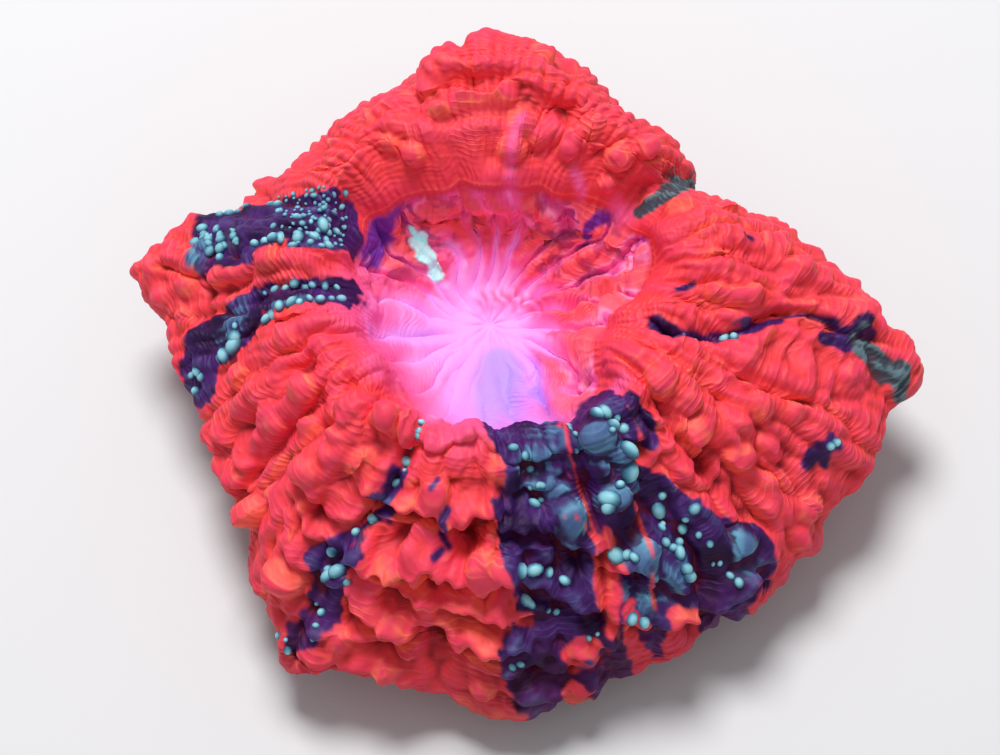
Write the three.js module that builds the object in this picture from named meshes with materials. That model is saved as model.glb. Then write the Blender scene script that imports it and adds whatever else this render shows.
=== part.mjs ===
// Brain coral: one large fleshy polyp, cut off flat under its foot, in millimetres, +Z up.
// The whole animal is one closed surface. It is lofted from the mouth in the middle, down and up
// the walls of the pit, over the inflated rim, out to the lobed margin, in under the flesh to the
// foot, and across the flat cut. The origin is under the middle of its bounding box, on the cut.

import * as THREE from "three";
import { ParametricGeometry } from "three/addons/geometries/ParametricGeometry.js";

// Driving sizes of the finished object.
const WIDTH = 80.5; // left to right, across the longest lobes
const DEPTH = 70; // front to back
const HEIGHT = 30.5; // from the cut to the top of the back fold

// Middle of the mouth and of the foot, in plan, before the part is centred.
const MOUTH = { x: -4.5, y: 4 };
const FOOT = { x: -1, y: 0 };

const MOUTH_HEIGHT = 11.5; // bottom of the pit
const FLOOR_SHARE = 0.55; // radius of the pit's floor, as a share of the rim's radius
const FLOOR_RISE = 1.2;
const WALL_FOOT_HEIGHT = 15.5; // where the pit's wall starts to climb
const RIM_DROP = 4.2; // how far the rim's edge lies under the crest behind it
const TUCK_SHARE = 0.84; // radius under the margin, as a share of the margin's radius
const FOOT_RADIUS = 18;
const FOOT_HEIGHT = 4;
const CUT_RADIUS = 16.5; // the flat cut that it stands on

// The back fold hangs over the pit as a curtain: its wall is cut in behind the rim's edge.
const CURTAIN = { at: 102, halfWidth: 38, undercut: 1.6 };

// Lobes of the flesh, every 15 degrees anticlockwise from +X round the mouth:
// radius of the rim's edge, then radius and height of the crest, of the slope's middle, and of the margin.
const LOBES = [
  { rim: 15.5, crest: [21, 23.5], slope: [31, 20.5], margin: [40, 13] },
  { rim: 17.5, crest: [22, 24], slope: [27, 22], margin: [32.5, 14] },
  { rim: 16.5, crest: [20.5, 22.5], slope: [23.5, 20.5], margin: [27.5, 12] },
  { rim: 14, crest: [18, 25], slope: [22, 24], margin: [27, 12] },
  { rim: 11.5, crest: [17, 26.5], slope: [21.5, 26], margin: [27.5, 12] },
  { rim: 10.2, crest: [17.5, 27.5], slope: [23.5, 27], margin: [30, 12] },
  { rim: 9.7, crest: [18, 28], slope: [24.5, 27.5], margin: [31, 12] },
  { rim: 10.5, crest: [17, 27], slope: [22, 26], margin: [28.5, 12] },
  { rim: 11.8, crest: [17, 26], slope: [21.5, 24.5], margin: [27.5, 12] },
  { rim: 13.5, crest: [18, 24.5], slope: [21.5, 23], margin: [27, 12] },
  { rim: 13.5, crest: [18.5, 23], slope: [23, 21], margin: [28, 13] },
  { rim: 13, crest: [18.5, 23], slope: [26, 20], margin: [33.5, 14] },
  { rim: 13, crest: [18.5, 23], slope: [26.5, 19.5], margin: [33.8, 12] },
  { rim: 13.3, crest: [18.5, 23.5], slope: [25.5, 19], margin: [31, 11] },
  { rim: 13.3, crest: [18.5, 24], slope: [26, 19], margin: [31.3, 9.5] },
  { rim: 13.8, crest: [18.5, 24.5], slope: [28, 18.5], margin: [34.5, 8.5] },
  { rim: 15.5, crest: [19.5, 24.5], slope: [30.5, 17.5], margin: [39.5, 7] },
  { rim: 15.5, crest: [19, 24.5], slope: [29.5, 17.5], margin: [38, 6.5] },
  { rim: 15.2, crest: [18.5, 24], slope: [29, 17.5], margin: [38.5, 6] },
  { rim: 16, crest: [19, 24], slope: [29.5, 17], margin: [38.5, 5.5] },
  { rim: 16.5, crest: [20, 24.5], slope: [30, 17.5], margin: [38.5, 6] },
  { rim: 15.5, crest: [20, 24.5], slope: [30, 18], margin: [39.5, 7.5] },
  { rim: 12.5, crest: [18, 24], slope: [29.5, 19.5], margin: [40, 9] },
  { rim: 13, crest: [18.5, 23.5], slope: [31, 20], margin: [42, 11.5] },
];

// Narrow tips and bays of the margin, narrower than the step between two lobes.
const TIPS = [
  { at: 353, halfWidth: 6, out: 3 },
  { at: 171, halfWidth: 5, out: 2.6 },
  { at: 240, halfWidth: 5, out: 1 },
  { at: 31, halfWidth: 5, out: -1 },
];

// Long folds that run out over the slope: valleys have a negative height.
const FOLDS = [
  { path: [[12, 3], [20, 1.5], [28, 0], [33, -2]], halfWidth: 1.5, height: -1.6 },
  { path: [[9, 12.5], [15, 16], [21, 18]], halfWidth: 1.4, height: -1.8 },
  { path: [[-15, 10], [-22, 11.5], [-30, 13]], halfWidth: 2.2, height: -1.2 },
  { path: [[-17, 5], [-24, 5.5], [-31, 4]], halfWidth: 1.8, height: -1.2 },
  { path: [[-12, -11], [-15, -16], [-20, -20], [-25, -28]], halfWidth: 1.8, height: -1.4 },
  { path: [[-1, -11], [0, -17], [2, -24], [3, -30]], halfWidth: 2.2, height: -1.2 },
  { path: [[9, -10], [12, -15], [16, -20], [20, -24]], halfWidth: 2.2, height: -1.2 },
  { path: [[-2, 16], [-2, 21], [-1, 26]], halfWidth: 1.8, height: 1.2 },
  { path: [[7, -3], [16, -8], [25, -12]], halfWidth: 2.5, height: 1.2 },
  { path: [[-17, -6], [-24, -12], [-28, -19]], halfWidth: 2.5, height: 1.1 },
  { path: [[-6, -12], [-8, -18], [-8, -26]], halfWidth: 2.5, height: 1.1 },
];

// Large knobs of inflated flesh, as [x, y, radius, height] in plan.
const KNOBS = [
  [-1.8, 19.3, 3, 1.2],
  [-9.3, 19.3, 2.8, 0.9],
  [4.3, 21.4, 2.8, 0.9],
  [-15.4, 17.9, 3, 1],
  [-6.3, 24.5, 3, 0.9],
  [-0.2, 26.8, 3, 0.8],
  [16.7, 5.6, 3, 1.1],
  [22.7, 3.2, 3, 0.9],
  [30.1, 4.7, 3, 1],
  [20, -2.2, 3, 1],
  [15.3, -7.4, 3, 1.2],
  [20.9, -8.2, 3, 1.1],
  [15.2, -12.8, 3, 1.2],
  [26.8, -8.2, 3.2, 1.1],
  [19.8, -14.7, 3, 1],
  [32.2, -1.8, 3, 1],
  [-25.2, -6.8, 3, 1.1],
  [-22.5, -12.6, 3, 1.1],
  [-17.9, -11.7, 3, 1.2],
  [-26.2, -17.6, 3, 1],
  [-27.9, -2.7, 3, 0.9],
  [-11.1, -17.9, 3, 1],
  [-9.2, -22.3, 3, 1],
  [-13.2, -27.1, 3, 1],
  [8.4, -16.2, 3, 1],
  [15.6, -21.5, 3, 1],
  [-34.9, 10.9, 2.6, 0.8],
];

// Waves that swell the outer slope and scallop the margin, as cycles round the coral.
const SWELLS = [
  { cycles: 11, phase: 0.6, height: 0.45 },
  { cycles: 17, phase: 2.1, height: 0.4 },
  { cycles: 26, phase: 4.0, height: 0.3 },
];

// Waves that keep the foot and its cut from being round.
const FOOT_WAVES = [
  { cycles: 2, phase: 0.7, height: 1.5 },
  { cycles: 3, phase: 2, height: 0.9 },
  { cycles: 9, phase: 1, height: 0.35 },
];

const SLICES = 108; // steps round the coral
const ROWS_PER_STRETCH = 4; // steps between two stations of the profile
const DEGREES = 180 / Math.PI;

// Uniform Catmull-Rom value between b and c, at s from 0 to 1.
function catmullRom(a, b, c, d, s) {
  return (
    b +
    0.5 * s * (c - a + s * (2 * a - 5 * b + 4 * c - d + s * (3 * (b - c) + d - a)))
  );
}

// One value of the lobes at an angle in degrees, smooth from each lobe to the next.
function roundTheLobes(angle, valueOf) {
  const place = (angle / 360) * LOBES.length;
  const first = Math.floor(place);
  const at = (n) => valueOf(LOBES[(first + n + LOBES.length) % LOBES.length]);
  return catmullRom(at(-1), at(0), at(1), at(2), place - first);
}

// A bell of height 1 round an angle, in degrees.
function bell(angle, centre, halfWidth) {
  const away = ((angle - centre + 540) % 360) - 180;
  return Math.exp(-((away / halfWidth) ** 2));
}

function marginRadius(angle) {
  return TIPS.reduce(
    (radius, tip) => radius + tip.out * bell(angle, tip.at, tip.halfWidth),
    roundTheLobes(angle, (lobe) => lobe.margin[0]),
  );
}

// The sum of some waves round the coral, at a turn in radians.
function waveSum(waves, turn) {
  return waves.reduce((sum, wave) => sum + wave.height * Math.sin(wave.cycles * turn + wave.phase), 0);
}

// The profile at one angle: a list of [centre, radius, height], from the mouth to the middle of the cut.
function stations(angle) {
  const rim = roundTheLobes(angle, (lobe) => lobe.rim);
  const crest = [0, 1].map((k) => roundTheLobes(angle, (lobe) => lobe.crest[k]));
  const slope = [0, 1].map((k) => roundTheLobes(angle, (lobe) => lobe.slope[k]));
  const margin = marginRadius(angle);
  const marginHeight = roundTheLobes(angle, (lobe) => lobe.margin[1]);
  const undercut = CURTAIN.undercut * bell(angle, CURTAIN.at, CURTAIN.halfWidth);
  const footWave = waveSum(FOOT_WAVES, angle / DEGREES);
  return [
    [MOUTH, 0, MOUTH_HEIGHT],
    [MOUTH, rim * FLOOR_SHARE, MOUTH_HEIGHT + FLOOR_RISE],
    [MOUTH, rim + undercut - 1, WALL_FOOT_HEIGHT],
    [MOUTH, rim, crest[1] - RIM_DROP],
    [MOUTH, crest[0], crest[1]],
    [MOUTH, slope[0], slope[1]],
    [MOUTH, margin, marginHeight],
    [MOUTH, margin * TUCK_SHARE, marginHeight * 0.5],
    [FOOT, FOOT_RADIUS + footWave, FOOT_HEIGHT],
    [FOOT, CUT_RADIUS + footWave, 0],
    [FOOT, 0, 0],
  ];
}

// Distance in plan from a point to a path of straight stretches.
function distanceToPath(x, y, path) {
  let nearest = Infinity;
  for (let k = 1; k < path.length; k++) {
    const [ax, ay] = path[k - 1];
    const dx = path[k][0] - ax;
    const dy = path[k][1] - ay;
    const along = ((x - ax) * dx + (y - ay) * dy) / (dx * dx + dy * dy);
    const s = Math.min(1, Math.max(0, along));
    nearest = Math.min(nearest, Math.hypot(x - ax - s * dx, y - ay - s * dy));
  }
  return nearest;
}

// How far the long folds and the knobs lift the flesh at a point in plan.
function reliefLift(x, y) {
  const folds = FOLDS.reduce((lift, fold) => {
    const share = distanceToPath(x, y, fold.path) / fold.halfWidth;
    return lift + fold.height * Math.exp(-share * share);
  }, 0);
  return KNOBS.reduce((lift, [knobX, knobY, radius, height]) => {
    const share = Math.hypot(x - knobX, y - knobY) / radius;
    return lift + height * Math.exp(-2 * share * share);
  }, folds);
}

// How much of the folds, knobs and swells shows at a station: none in the pit, none under the margin.
const RELIEF_SHARE = [0, 0, 0.2, 0.5, 1, 1, 0.8, 0.3, 0, 0, 0];

// The surface: around goes once round the coral clockwise, so that its faces point outwards,
// and down runs along the profile.
function fleshPoint(around, down, target) {
  const angle = around < 1 ? 360 * (1 - around) % 360 : 0;
  const profile = stations(angle);
  const last = profile.length - 1;
  const place = Math.min(down * last, last - 1e-9);
  const first = Math.floor(place);
  const s = place - first;
  const smooth = (valueOf) => {
    const at = (n) => valueOf(Math.min(last, Math.max(0, first + n)));
    return catmullRom(at(-1), at(0), at(1), at(2), s);
  };
  const turn = angle / DEGREES;
  const blend = (name) => profile[first][0][name] * (1 - s) + profile[first + 1][0][name] * s;
  const relief = smooth((n) => RELIEF_SHARE[n]);
  const swell = waveSum(SWELLS, turn) * relief;
  const radius = Math.max(0, smooth((n) => profile[n][1]) + swell);
  const x = blend("x") + radius * Math.cos(turn);
  const y = blend("y") + radius * Math.sin(turn);
  const height = smooth((n) => profile[n][2]) + reliefLift(x, y) * relief;
  target.set(x, y, place >= last - 1 ? 0 : Math.max(0, height));
}

// The flesh as a closed surface, brought to the driving sizes with its cut centred on the origin.
function fleshGeometry() {
  const stretches = stations(0).length - 1;
  const geometry = new ParametricGeometry(fleshPoint, SLICES, stretches * ROWS_PER_STRETCH);
  geometry.computeBoundingBox();
  const size = geometry.boundingBox.getSize(new THREE.Vector3());
  const middle = geometry.boundingBox.getCenter(new THREE.Vector3());
  geometry.translate(-middle.x, -middle.y, -geometry.boundingBox.min.z);
  geometry.scale(WIDTH / size.x, DEPTH / size.y, HEIGHT / size.z);
  return geometry;
}

const fleshMaterial = new THREE.MeshStandardMaterial({
  color: 0xe84454,
  roughness: 0.45,
  metalness: 0,
});

const coralPolyp = new THREE.Mesh(fleshGeometry(), fleshMaterial);
coralPolyp.name = "coral_polyp";

const coral = new THREE.Group();
coral.add(coralPolyp);

export default coral;
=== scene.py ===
import math
from types import SimpleNamespace
import bpy
import numpy as np
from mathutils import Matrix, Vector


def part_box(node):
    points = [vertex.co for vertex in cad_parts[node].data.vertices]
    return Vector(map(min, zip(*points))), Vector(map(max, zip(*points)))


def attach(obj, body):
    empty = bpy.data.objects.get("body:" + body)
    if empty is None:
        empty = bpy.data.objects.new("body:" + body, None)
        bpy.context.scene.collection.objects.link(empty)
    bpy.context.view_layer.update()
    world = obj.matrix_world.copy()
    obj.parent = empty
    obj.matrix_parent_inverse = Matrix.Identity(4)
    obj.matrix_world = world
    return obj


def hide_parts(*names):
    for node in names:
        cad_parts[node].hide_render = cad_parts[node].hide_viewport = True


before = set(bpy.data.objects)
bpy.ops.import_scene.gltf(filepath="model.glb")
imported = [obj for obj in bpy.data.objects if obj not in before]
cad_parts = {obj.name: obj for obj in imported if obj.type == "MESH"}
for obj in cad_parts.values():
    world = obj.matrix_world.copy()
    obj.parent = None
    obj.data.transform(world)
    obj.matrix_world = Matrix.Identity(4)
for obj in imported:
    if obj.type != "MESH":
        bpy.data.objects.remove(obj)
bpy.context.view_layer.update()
lowest, highest = (np.array(c) * 1000 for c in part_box("coral_polyp"))  # the coral's box, in mm
print("frame loaded: the coral is", (highest - lowest).round(1), "mm")

# The coral's places below are in millimetres, and become metres in makePiece.


view = {"elevation": 66.3, "distance": 307.0, "target": (-2.64, -2.39, 14.0), "lens": 109.2}
studio = {
    "floor": (0.72, 0.72, 0.73), "sky": 0.34,
    "lights": {  # place in metres, size, power
        "keyAbove": ((-0.06, 0.22, 0.52), 0.22, 3.15), "fillFront": ((0.2, -0.5, 0.4), 0.4, 0.12),
    },
}


def addCamera():
    data = bpy.data.cameras.new("camera")
    data.lens, data.sensor_width, data.clip_start = view["lens"], 36.0, 0.01
    camera = bpy.data.objects.new("camera", data)
    bpy.context.scene.collection.objects.link(camera)
    tilt = math.radians(view["elevation"])
    x, y, z = (v / 1000 for v in view["target"])
    away = view["distance"] / 1000
    camera.location = (x, y - away * math.cos(tilt), z + away * math.sin(tilt))
    camera.rotation_euler = (math.pi / 2 - tilt, 0, 0)
    bpy.context.scene.camera = camera


def addLight(name, place, size, power):
    data = bpy.data.lights.new(name, "AREA")
    data.shape, data.size, data.energy = "DISK", size, power
    light = bpy.data.objects.new(name, data)
    bpy.context.scene.collection.objects.link(light)
    light.location = place
    down = -light.location.normalized()
    light.rotation_euler = down.to_track_quat("-Z", "Y").to_euler()


def addStudio():
    world = bpy.data.worlds.new("softSky")
    world.use_nodes = True
    world.node_tree.nodes["Background"].inputs["Color"].default_value = (0.96, 0.97, 1, 1)
    world.node_tree.nodes["Background"].inputs["Strength"].default_value = studio["sky"]
    bpy.context.scene.world = world
    for name, light in studio["lights"].items():
        addLight(name, *light)
    material = bpy.data.materials.new("paleFloor")
    material.use_nodes = True
    shader = material.node_tree.nodes["Principled BSDF"]
    shader.inputs["Base Color"].default_value = (*studio["floor"], 1)
    shader.inputs["Roughness"].default_value = 0.8
    bpy.ops.mesh.primitive_plane_add(size=4)
    floor = bpy.context.object
    floor.name = "floor"
    floor.data.materials.append(material)
    bpy.context.scene.view_settings.view_transform = "Standard"


def hashed(i, j, k, seed):  # a number from 0 to 1 that belongs to a cell
    h = (i * 374761393 + j * 668265263 + k * 1440662683 + seed * 974634777) & 0xFFFFFFFF
    h = ((h ^ (h >> 13)) * 1274126177) & 0xFFFFFFFF
    return ((h ^ (h >> 16)) & 0xFFFFFF) / 16777215.0


def smoothNoise(p, size, seed):
    # Numbers from -1 to 1 on the corners of cells, blended smoothly inside each cell.
    q = p / size
    cell = np.floor(q).astype(np.int64)
    f = q - cell
    f = f * f * f * (f * (f * 6 - 15) + 10)
    total = 0.0
    for n in range(8):
        step = np.array([n & 1, n >> 1 & 1, n >> 2])
        weight = np.abs(1 - step - f).prod(-1)
        total = total + weight * hashed(*np.moveaxis(cell + step, -1, 0), seed)
    return 2 * total - 1


def domes(p, size, seed, share=0.8):
    # Round domes at jittered places, at most one to a cell: 1 - (distance / radius) squared, less
    # for a small one, to the power 0.8, and the highest dome wins.
    q = p / size
    cell = np.floor(q).astype(np.int64)
    best = np.zeros(q.shape[:-1])
    for n in range(27):
        at = cell + np.array([n % 3 - 1, n // 3 % 3 - 1, n // 9 - 1])
        i, j, k = np.moveaxis(at, -1, 0)
        spot = [at[..., m] + 0.2 + 0.6 * hashed(i, j, k, seed + m) - q[..., m] for m in range(3)]
        radius = 0.42 + 0.38 * hashed(i, j, k, seed + 3)
        kept = hashed(i, j, k, seed + 4) < share
        inside = 1 - (spot[0] ** 2 + spot[1] ** 2 + spot[2] ** 2) / radius ** 2
        best = np.maximum(best, np.where(kept, inside, 0) * radius / 0.8)
    return best ** 0.8


def step01(value, low, high):  # 0 below low, 1 above high, smooth between
    t = np.clip((value - low) / (high - low), 0, 1)
    return t * t * (3 - 2 * t)


def alongPath(x, y, path):
    # Distance from each point to a path of straight stretches, minus on its left hand side.
    nearest = np.full(x.shape, 1e9)
    side = np.ones(x.shape)
    for (ax, ay), (bx, by) in zip(path[:-1], path[1:]):
        dx, dy = bx - ax, by - ay
        t = np.clip(((x - ax) * dx + (y - ay) * dy) / (dx * dx + dy * dy), 0, 1)
        away = np.hypot(x - ax - t * dx, y - ay - t * dy)
        closer = away < nearest
        nearest = np.where(closer, away, nearest)
        side = np.where(closer, np.where(dx * (y - ay) - dy * (x - ax) > 0, -1.0, 1.0), side)
    return nearest, side


polyp = {
    "mouth": (-4.5, 4.0), "foot": (-1.0, 0.0),
    "pitMiddle": (-3.84, 4.21),  # where the mouth lies once the form is seated
    "mouthHeight": 11.5, "floorShare": 0.55, "floorRise": 1.2, "wallFoot": 15.5, "rimDrop": 4.2,
    "tuckShare": 0.84, "footRadius": 18.0, "footHeight": 4.0, "cutRadius": 16.5,
    "curtain": (100, 42, 2.7),  # where the back fold hangs over the pit: angle, half width, undercut
    # Every 15 degrees anticlockwise from +X round the mouth: the rim's radius, then radius and
    # height of the crest, of the slope's middle, and of the margin.
    "lobes": [
        (15.5, 21, 23.5, 31, 20.5, 40, 13), (17.5, 22, 24, 27, 22, 32.5, 14),
        (16.5, 20.5, 22.5, 23.5, 20.5, 27.5, 12), (14, 18, 25, 22, 24, 27, 12),
        (11.5, 17, 26.5, 21.5, 26, 27.5, 12), (10.2, 17.5, 27.5, 23.5, 27, 30, 12),
        (9.7, 18, 28, 24.5, 27.5, 31, 12), (10.5, 17, 27, 22, 26, 28.5, 12),
        (11.8, 17, 26, 21.5, 24.5, 27.5, 12), (13.7, 18, 24.5, 21.5, 23, 27, 12),
        (15, 19, 23, 23, 21, 28, 13), (14.2, 18.8, 23, 26, 20, 33.5, 14),
        (13, 18.5, 23, 26.5, 19.5, 33.8, 12), (13.3, 18.5, 23.5, 25.5, 19, 31, 11),
        (13.3, 18.5, 24, 26, 19, 31.3, 9.5), (13.8, 18.5, 24.5, 28, 18.5, 34.5, 8.5),
        (15.5, 19.5, 24.5, 30.5, 17.5, 39.5, 7), (15.5, 19, 24.5, 29.5, 17.5, 38, 6.5),
        (15.2, 18.5, 24, 29, 17.5, 38.5, 6), (16, 19, 24, 29.5, 17, 38.5, 5.5),
        (16.5, 20, 24.5, 30, 17.5, 38.5, 6), (15.5, 20, 24.5, 30, 18, 39.5, 7.5),
        (12.5, 18, 24, 29.5, 19.5, 40, 9), (13, 18.5, 23.5, 31, 20, 42, 11.5),
    ],
    "tips": [(353, 6, 3), (171, 5, 2.6), (240, 5, 1), (31, 5, -1)],  # angle, half width, how far out
    "swells": [(11, 0.6, 0.45), (17, 2.1, 0.4), (26, 4.0, 0.3)],  # cycles, phase, height
    "footWaves": [(2, 0.7, 1.5), (3, 2.0, 0.9), (9, 1.0, 0.35)],
    "swellShare": (0, 0, 0.2, 0.5, 1, 1, 0.8, 0.3, 0, 0, 0),
    "columns": 1500,  # steps round the coral
    "rows": (56, 56, 36, 44, 84, 92, 24, 8),  # steps from the mouth to the foot, between stations
    "sink": 1.0,  # mm that the form gives way, which the knobs and ledges fill again
}


def catmullRom(a, b, c, d, s):
    return b + 0.5 * s * (c - a + s * (2 * a - 5 * b + 4 * c - d + s * (3 * (b - c) + d - a)))


def bell(angle, centre, halfWidth):
    return np.exp(-((((angle - centre + 540) % 360) - 180) / halfWidth) ** 2)


def waves(turn, items):
    return sum(height * np.sin(cycles * turn + phase) for cycles, phase, height in items)


def roundTheLobes(angle, table):  # smooth values between the lobes' values
    table = np.array(table, float)
    place = angle / 360 * len(table)
    first = np.floor(place).astype(int)
    at = [table[(first + n) % len(table)] for n in (-1, 0, 1, 2)]
    s = (place - first) if table.ndim == 1 else (place - first)[..., None]
    return catmullRom(*at, s)


def polypForm(angle, station):
    # Lofts eleven stations from the mouth (0) over the margin (6) to the middle of the cut (10),
    # smooth both ways. angle is a row of degrees, station a column of station numbers.
    rim, crestR, crestZ, slopeR, slopeZ, marginR, marginZ = roundTheLobes(angle, polyp["lobes"]).T
    marginR = marginR + sum(out * bell(angle, at, width) for at, width, out in polyp["tips"])
    at, width, depth = polyp["curtain"]
    footWave = waves(np.radians(angle), polyp["footWaves"])
    one = np.ones_like(angle)
    radii = np.array([
        0 * one, rim * polyp["floorShare"], rim + depth * bell(angle, at, width) - 1, rim,
        crestR, slopeR, marginR, marginR * polyp["tuckShare"],
        polyp["footRadius"] + footWave, polyp["cutRadius"] + footWave, 0 * one,
    ])
    mouthZ = polyp["mouthHeight"]
    heights = np.array([
        mouthZ * one, (mouthZ + polyp["floorRise"]) * one, polyp["wallFoot"] * one,
        crestZ - polyp["rimDrop"], crestZ, slopeZ, marginZ, marginZ * 0.5,
        polyp["footHeight"] * one, 0 * one, 0 * one,
    ])
    first = np.minimum(np.floor(station).astype(int), 9)
    s = (station - first)[:, None]

    def smooth(table):
        return catmullRom(*[table[np.clip(first + n, 0, 10)] for n in (-1, 0, 1, 2)], s)

    share = smooth(np.array(polyp["swellShare"])[:, None] * one)
    radius = np.maximum(0, smooth(radii) + waves(np.radians(angle), polyp["swells"]) * share)
    centres = np.array([polyp["mouth"]] * 8 + [polyp["foot"]] * 3)
    middle = centres[first] * (1 - s) + centres[first + 1] * s
    turn = np.radians(angle)
    x = middle[:, :1] + radius * np.cos(turn)
    y = middle[:, 1:] + radius * np.sin(turn)
    z = np.where(station[:, None] >= 9, 0, np.maximum(0, smooth(heights)))
    return np.stack([x, y, z], -1)


def seated(points, outline):
    # Moves and scales points as the outline fits the CAD coral's box: centred, on the cut.
    low, high = outline.reshape(-1, 3).min(0), outline.reshape(-1, 3).max(0)
    middle = np.array([(low[0] + high[0]) / 2, (low[1] + high[1]) / 2, low[2]])
    seat = np.array([(lowest[0] + highest[0]) / 2, (lowest[1] + highest[1]) / 2, lowest[2]])
    return (points - middle) * (highest - lowest) / (high - low) + seat


def normalsOf(p):
    # The cross product of the steps down and round the surface, which wraps round.
    n = np.cross(np.gradient(p, axis=0), np.roll(p, -1, 1) - np.roll(p, 1, 1))
    return n / (np.linalg.norm(n, axis=-1, keepdims=True) + 1e-12)


def blurred(values, reach):
    # The mean over a window of rows and of columns, wrapping round the coral.
    for axis, mode in ((0, "edge"), (1, "wrap")):
        pad = [(reach + 1, reach) if a == axis else (0, 0) for a in range(values.ndim)]
        total = np.cumsum(np.pad(values, pad, mode=mode), axis=axis)
        n = values.shape[axis]
        top = np.take(total, np.arange(2 * reach + 1, 2 * reach + 1 + n), axis=axis)
        values = (top - np.take(total, np.arange(n), axis=axis)) / (2 * reach + 1)
    return values


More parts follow.
